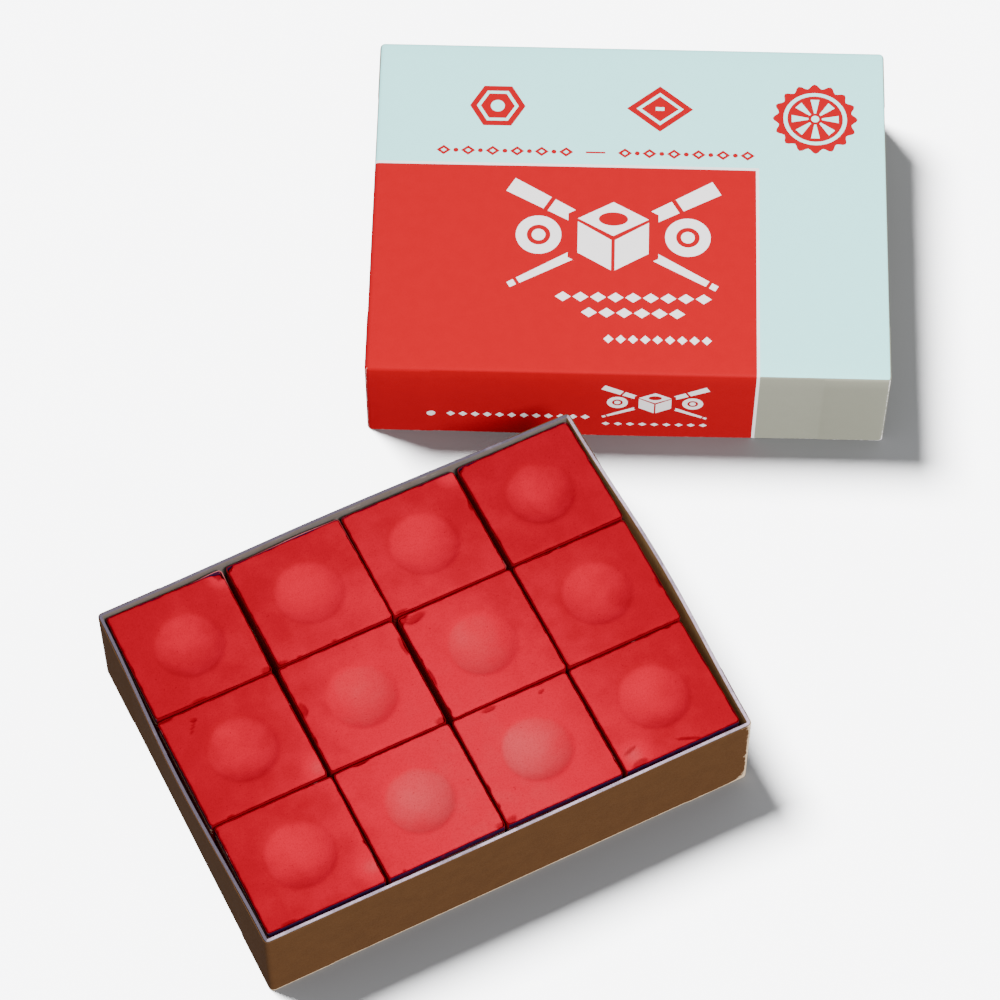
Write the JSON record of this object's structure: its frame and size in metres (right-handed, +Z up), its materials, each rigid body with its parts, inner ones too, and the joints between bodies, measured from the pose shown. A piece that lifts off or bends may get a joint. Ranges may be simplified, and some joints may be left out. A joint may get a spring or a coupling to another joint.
{
  "type": "boxed cue chalk cubes",
  "caption": "Open board box of pressed red cue chalk cubes in paper labels, each with a round hollow on top, and its lift-off lid standing beside the tray.",
  "frame": {"origin": "centre of the tray's underside, on the surface the box stands on", "axes": "+X along the tray's long side, +Y along its short side towards the wall that the lid stands behind, +Z up out of the open tray"},
  "size_m": [0.1809, 0.1577, 0.0212],
  "materials": {
    "red_chalk": "matte",
    "label_paper": "satin",
    "grey_board": "matte",
    "gummed_tape": "matte",
    "brown_cover_paper": "satin",
    "printed_lid_paper": "satin"
  },
  "bodies": {
    "tray": {"tray_board": "grey_board", "tray_corner_stays": "gummed_tape", "tray_wrap": "brown_cover_paper"},
    "lid": {"lid_board": "grey_board", "lid_corner_stays": "gummed_tape", "lid_wrap": "printed_lid_paper"},
    "cube_r1c1": {"chalk_block_r1c1": "red_chalk", "paper_label_r1c1": "label_paper"},
    "cube_r1c2": {"chalk_block_r1c2": "red_chalk", "paper_label_r1c2": "label_paper"},
    "cube_r1c3": {"chalk_block_r1c3": "red_chalk", "paper_label_r1c3": "label_paper"},
    "cube_r1c4": {"chalk_block_r1c4": "red_chalk", "paper_label_r1c4": "label_paper"},
    "cube_r2c1": {"chalk_block_r2c1": "red_chalk", "paper_label_r2c1": "label_paper"},
    "cube_r2c2": {"chalk_block_r2c2": "red_chalk", "paper_label_r2c2": "label_paper"},
    "cube_r2c3": {"chalk_block_r2c3": "red_chalk", "paper_label_r2c3": "label_paper"},
    "cube_r2c4": {"chalk_block_r2c4": "red_chalk", "paper_label_r2c4": "label_paper"},
    "cube_r3c1": {"chalk_block_r3c1": "red_chalk", "paper_label_r3c1": "label_paper"},
    "cube_r3c2": {"chalk_block_r3c2": "red_chalk", "paper_label_r3c2": "label_paper"},
    "cube_r3c3": {"chalk_block_r3c3": "red_chalk", "paper_label_r3c3": "label_paper"},
    "cube_r3c4": {"chalk_block_r3c4": "red_chalk", "paper_label_r3c4": "label_paper"}
  },
  "joints": [
    {"name": "cube_r1c1_lift", "type": "slide", "parent": "tray", "child": "cube_r1c1", "axis": [0, 0, 1], "range_m": [0, 0.03]},
    {"name": "cube_r1c2_lift", "type": "slide", "parent": "tray", "child": "cube_r1c2", "axis": [0, 0, 1], "range_m": [0, 0.03]},
    {"name": "cube_r1c3_lift", "type": "slide", "parent": "tray", "child": "cube_r1c3", "axis": [0, 0, 1], "range_m": [0, 0.03]},
    {"name": "cube_r1c4_lift", "type": "slide", "parent": "tray", "child": "cube_r1c4", "axis": [0, 0, 1], "range_m": [0, 0.03]},
    {"name": "cube_r2c1_lift", "type": "slide", "parent": "tray", "child": "cube_r2c1", "axis": [0, 0, 1], "range_m": [0, 0.03]},
    {"name": "cube_r2c2_lift", "type": "slide", "parent": "tray", "child": "cube_r2c2", "axis": [0, 0, 1], "range_m": [0, 0.03]},
    {"name": "cube_r2c3_lift", "type": "slide", "parent": "tray", "child": "cube_r2c3", "axis": [0, 0, 1], "range_m": [0, 0.03]},
    {"name": "cube_r2c4_lift", "type": "slide", "parent": "tray", "child": "cube_r2c4", "axis": [0, 0, 1], "range_m": [0, 0.03]},
    {"name": "cube_r3c1_lift", "type": "slide", "parent": "tray", "child": "cube_r3c1", "axis": [0, 0, 1], "range_m": [0, 0.03]},
    {"name": "cube_r3c2_lift", "type": "slide", "parent": "tray", "child": "cube_r3c2", "axis": [0, 0, 1], "range_m": [0, 0.03]},
    {"name": "cube_r3c3_lift", "type": "slide", "parent": "tray", "child": "cube_r3c3", "axis": [0, 0, 1], "range_m": [0, 0.03]},
    {"name": "cube_r3c4_lift", "type": "slide", "parent": "tray", "child": "cube_r3c4", "axis": [0, 0, 1], "range_m": [0, 0.03]},
    {"name": "lid_lift", "type": "slide", "parent": "tray", "child": "lid", "axis": [0, 0, 1], "range_m": [0, 0.05]}
  ]
}
